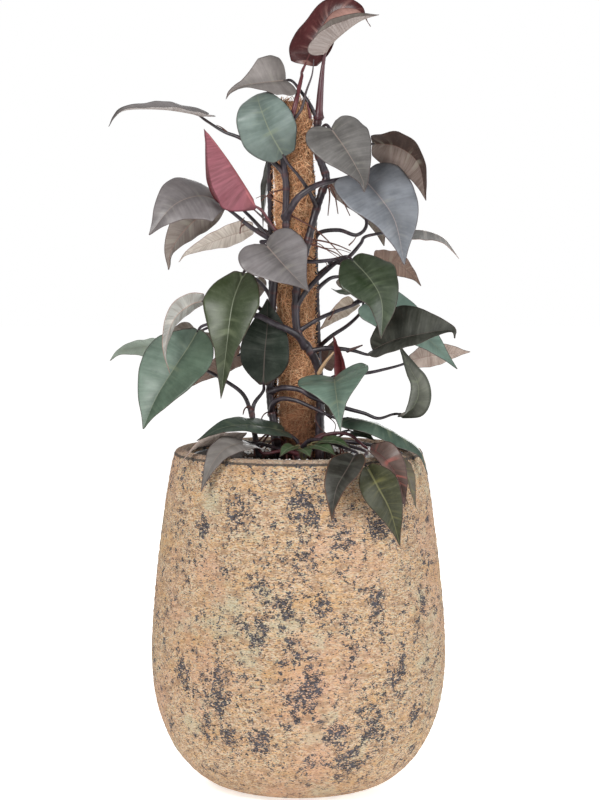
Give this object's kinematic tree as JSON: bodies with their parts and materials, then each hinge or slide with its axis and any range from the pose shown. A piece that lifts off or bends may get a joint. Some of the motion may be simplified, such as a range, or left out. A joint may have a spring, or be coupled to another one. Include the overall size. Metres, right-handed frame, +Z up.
{
  "type": "potted philodendron on a coir pole",
  "caption": "Climbing philodendron with heart-shaped grey, green and dark red leaves on a coir pole, in a tall egg-shaped speckled planter topped with pale gravel.",
  "frame": {"origin": "centre of the planter's flat base, on the floor", "axes": "+Z up, +X to the viewer's right, the front of the plant looks towards -Y"},
  "size_m": [0.4334, 0.355, 0.9433],
  "materials": {
    "planter": "matt, granular speckle",
    "liner": "matt black",
    "soil": "loose potting soil",
    "gravel": "rounded pale pebbles",
    "coir": "rough coconut fibre",
    "wood": "unfinished",
    "stem": "satin",
    "leaf_green": "satin",
    "leaf_dark": "satin",
    "leaf_grey": "satin",
    "leaf_blue": "satin",
    "leaf_tan": "matt underside",
    "leaf_cream": "matt underside",
    "leaf_red": "glossy",
    "leaf_pink": "satin",
    "leaf_olive": "satin"
  },
  "bodies": {
    "root": {"planter": "planter", "liner": "liner", "soil": "soil", "gravel": "gravel", "coir_pole": "coir", "pole_core": "wood", "vine_left": "stem", "vine_right": "stem", "vine_right_back": "stem", "vine_left_back": "stem", "vine_left_low": "stem", "vine_low": "stem", "basal_shoots": "stem", "leaf_crown_red": "leaf_red", "leaf_crown_canoe": "leaf_grey", "leaf_upper_left_grey": "leaf_grey", "leaf_upper_round_green": "leaf_green", "leaf_long_left": "leaf_grey", "leaf_young_pink": "leaf_pink", "leaf_left_big_grey": "leaf_grey", "leaf_left_taupe": "leaf_tan", "leaf_left_cream": "leaf_cream", "leaf_centre_heart": "leaf_grey", "leaf_upper_right_heart": "leaf_grey", "leaf_right_big_blue": "leaf_blue", "leaf_right_brown": "leaf_tan", "leaf_far_right_thin": "leaf_cream", "leaf_right_brown_low": "leaf_tan", "leaf_right_round_green": "leaf_green", "leaf_right_back_green": "leaf_green", "leaf_right_big_dark": "leaf_dark", "leaf_right_tan": "leaf_tan", "leaf_right_curled": "leaf_green", "leaf_front_triangle": "leaf_green", "leaf_left_long_green": "leaf_green", "leaf_left_low_green": "leaf_green", "leaf_left_curled_cream": "leaf_cream", "leaf_left_thin_green": "leaf_green", "leaf_centre_dark": "leaf_dark", "leaf_left_back_tan": "leaf_tan", "leaf_low_left_green": "leaf_green", "leaf_low_left_cream": "leaf_cream", "leaf_low_left_grey": "leaf_grey", "leaf_rim_dark": "leaf_dark", "leaf_rim_olive": "leaf_olive", "leaf_rim_red_fold": "leaf_red", "leaf_rim_olive_strip": "leaf_olive", "leaf_rim_long_green": "leaf_green", "leaf_centre_back_cream": "leaf_cream", "leaf_upper_dark_edge": "leaf_dark", "leaf_back_upper": "leaf_green", "leaf_back_left_mid": "leaf_green", "leaf_back_left_low": "leaf_green", "leaf_back_top": "leaf_grey", "leaf_back_right_mid": "leaf_green", "leaf_back_low": "leaf_green", "leaf_back_upper_right": "leaf_grey", "leaf_back_rim": "leaf_green"}
  },
  "joints": []
}
